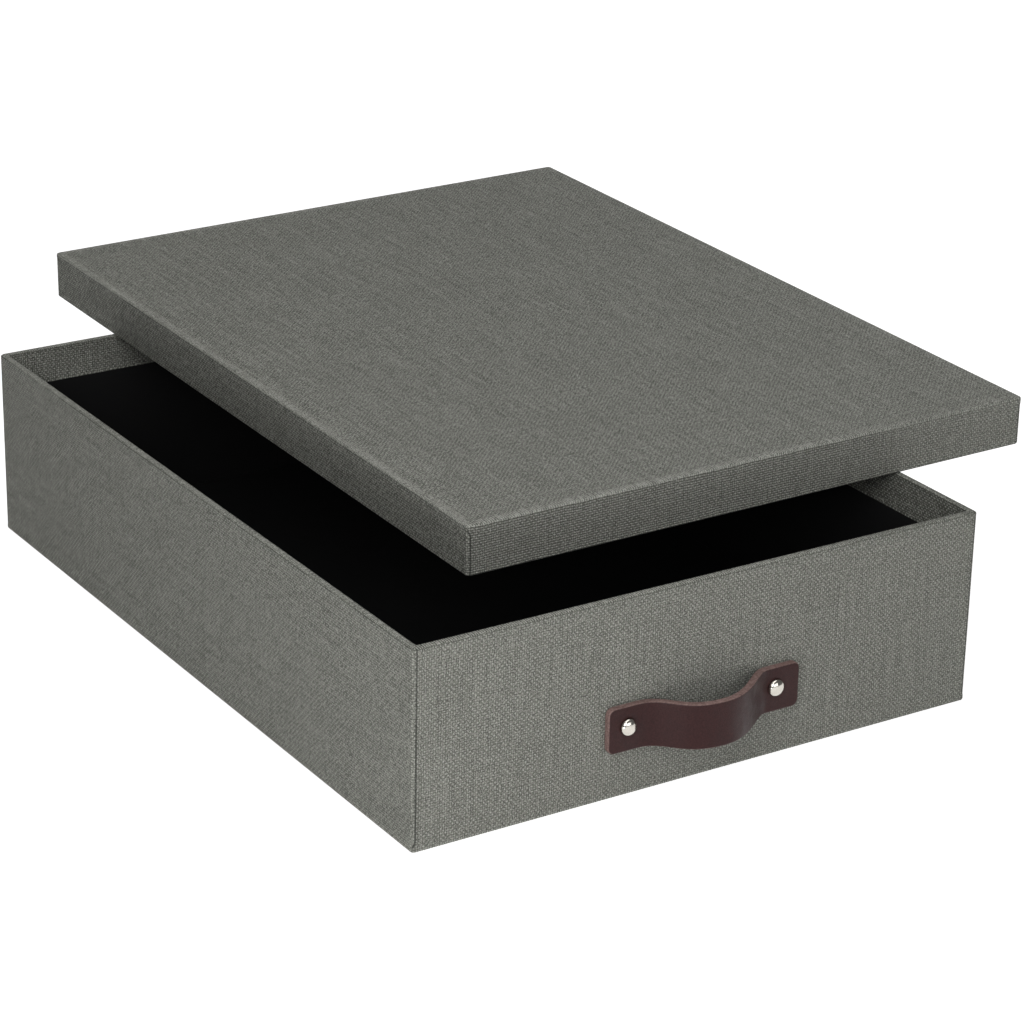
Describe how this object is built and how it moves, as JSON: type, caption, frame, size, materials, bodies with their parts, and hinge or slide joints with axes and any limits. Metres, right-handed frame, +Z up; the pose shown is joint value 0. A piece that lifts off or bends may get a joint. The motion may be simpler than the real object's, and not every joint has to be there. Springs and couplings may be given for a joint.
{
  "type": "document box",
  "caption": "Deep rectangular tray and shallow lift-off lid in linen-grained grey paper over board, black inside, with a bowed leather pull strap riveted to the front.",
  "frame": {"origin": "middle of the tray's underside, on the surface that the box stands on", "axes": "+Z up, +Y along the tray's length away from the face with the strap, +X to the right seen from that face"},
  "size_m": [0.3168, 0.4227, 0.105],
  "materials": {
    "tray_linen": "matt linen-grained cover paper",
    "lid_linen": "matt linen-grained cover paper",
    "tray_black": "matt black lining paper",
    "lid_black": "matt black lining paper",
    "leather": "smooth dark brown, satin, with a paler cut edge",
    "nickel": "polished nickel plate"
  },
  "bodies": {
    "tray": {"tray_shell": "tray_linen", "tray_lining": "tray_black", "handle_strap": "leather", "rivet_cap_left": "nickel", "rivet_cap_right": "nickel", "rivet_post_left": "nickel", "rivet_post_right": "nickel"},
    "lid": {"lid_shell": "lid_linen", "lid_lining": "lid_black"}
  },
  "joints": [
    {"name": "lid_lift", "type": "slide", "parent": "tray", "child": "lid", "axis": [0, 0, 1], "range_m": [0, 0.12]}
  ]
}
